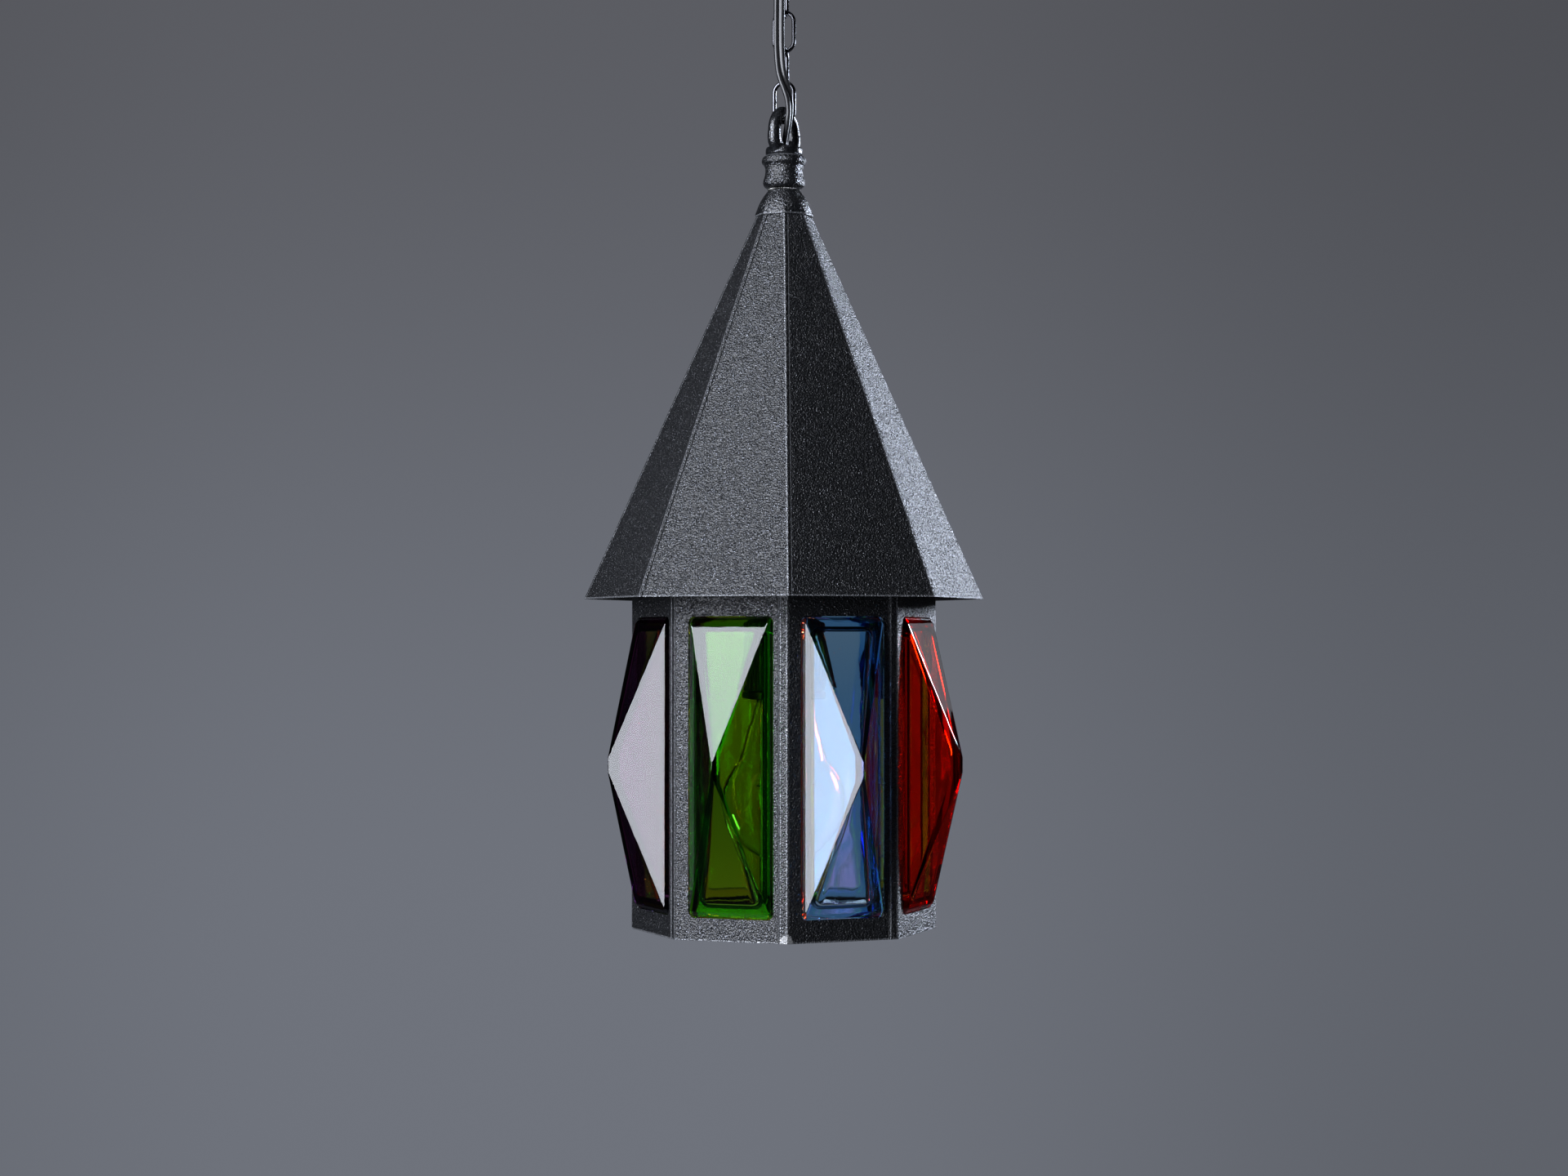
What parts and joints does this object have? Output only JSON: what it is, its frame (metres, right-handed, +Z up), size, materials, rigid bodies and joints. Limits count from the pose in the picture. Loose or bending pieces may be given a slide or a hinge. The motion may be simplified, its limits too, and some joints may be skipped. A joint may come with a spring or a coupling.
{
  "type": "hanging lantern",
  "caption": "Eight-sided hanging lantern of dark sheet iron with a tall pointed roof and faceted coloured glass, on a short chain with a twin flex, a ceiling cup and a bulb inside.",
  "frame": {"origin": "middle of the ceiling plate's top face, which meets the ceiling", "axes": "+Z up along the lantern's axis; a corner of the lantern points to -Y, the side that the picture shows"},
  "size_m": [0.2004, 0.2004, 0.5233],
  "materials": {
    "hammered_lacquer": "black lacquer with a fine hammered grain, worn on its edges",
    "chain_steel": "blackened bright steel",
    "zinc_steel": "dull zinc plate",
    "brass": "plain rolled brass",
    "black_plastic": "moulded black",
    "porcelain": "white glazed porcelain",
    "flex_black": "glossy black twin flex",
    "bulb_glass": "clear",
    "glass_aubergine": "very dark purple pressed glass",
    "glass_green": "green pressed glass",
    "glass_blue": "pale steel blue pressed glass",
    "glass_red": "red pressed glass with orange edges",
    "glass_amber": "amber pressed glass"
  },
  "bodies": {
    "ceiling": {"ceiling_plate": "zinc_steel", "canopy_cup": "hammered_lacquer", "canopy_collar": "zinc_steel", "ceiling_hook": "zinc_steel", "cord_bush": "black_plastic", "terminal_block": "porcelain", "flex_in_canopy": "flex_black"},
    "link_4": {"chain_link_4": "chain_steel"},
    "link_3": {"chain_link_3": "chain_steel", "flex_at_link_3": "flex_black"},
    "link_2": {"chain_link_2": "chain_steel", "flex_at_link_2": "flex_black"},
    "link_1": {"chain_link_1": "chain_steel", "flex_at_link_1": "flex_black"},
    "lantern": {"hanging_loop": "hammered_lacquer", "collar": "hammered_lacquer", "bead_washer": "zinc_steel", "roof_cap": "hammered_lacquer", "roof_panel_1": "hammered_lacquer", "roof_panel_2": "hammered_lacquer", "roof_panel_3": "hammered_lacquer", "roof_panel_4": "hammered_lacquer", "roof_panel_5": "hammered_lacquer", "roof_panel_6": "hammered_lacquer", "roof_panel_7": "hammered_lacquer", "roof_panel_8": "hammered_lacquer", "threaded_tube": "zinc_steel", "roof_washer": "zinc_steel", "roof_nut": "zinc_steel", "crossbar": "hammered_lacquer", "crossbar_rivet_1": "hammered_lacquer", "crossbar_rivet_2": "hammered_lacquer", "crossbar_upper_nut": "zinc_steel", "crossbar_lower_nut": "zinc_steel", "side_panel_1": "hammered_lacquer", "side_panel_2": "hammered_lacquer", "side_panel_3": "hammered_lacquer", "side_panel_4": "hammered_lacquer", "side_panel_5": "hammered_lacquer", "side_panel_6": "hammered_lacquer", "side_panel_7": "hammered_lacquer", "side_panel_8": "hammered_lacquer", "glass_aubergine": "glass_aubergine", "glass_green": "glass_green", "glass_blue": "glass_blue", "glass_red": "glass_red", "glass_amber": "glass_amber", "glass_blue_rear": "glass_blue", "glass_green_rear": "glass_green", "glass_red_rear": "glass_red", "holder_cap": "black_plastic", "holder_skirt": "black_plastic", "holder_core": "porcelain", "holder_screw_shell": "brass", "holder_contact": "brass", "flex_in_lantern": "flex_black"},
    "bulb": {"bulb_glass": "bulb_glass", "bulb_cap": "brass", "bulb_tip": "zinc_steel", "bulb_stem": "bulb_glass"}
  },
  "joints": [
    {"name": "link_4_swing", "type": "hinge", "parent": "ceiling", "child": "link_4", "pos_m": [0, 0, -0.0482], "axis": [0.9511, -0.309, 0], "range_deg": [-20, 20], "deforming": ["flex_in_canopy"]},
    {"name": "link_3_swing", "type": "hinge", "parent": "link_4", "child": "link_3", "pos_m": [0, 0, -0.06505], "axis": [0.309, 0.9511, 0], "range_deg": [-20, 20], "deforming": ["flex_at_link_3"]},
    {"name": "link_2_swing", "type": "hinge", "parent": "link_3", "child": "link_2", "pos_m": [0, 0, -0.08285], "axis": [0.9511, -0.309, 0], "range_deg": [-20, 20], "deforming": ["flex_at_link_2"]},
    {"name": "link_1_swing", "type": "hinge", "parent": "link_2", "child": "link_1", "pos_m": [0, 0, -0.10065], "axis": [0.309, 0.9511, 0], "range_deg": [-20, 20], "deforming": ["flex_at_link_1"]},
    {"name": "lantern_swing", "type": "hinge", "parent": "link_1", "child": "lantern", "pos_m": [0, 0, -0.11845], "axis": [0.9511, -0.309, 0], "range_deg": [-20, 20], "deforming": ["flex_in_lantern"]},
    {"name": "bulb_turn", "type": "hinge", "parent": "lantern", "child": "bulb", "pos_m": [0, 0, -0.43], "axis": [0, 0, 1], "continuous": true}
  ]
}
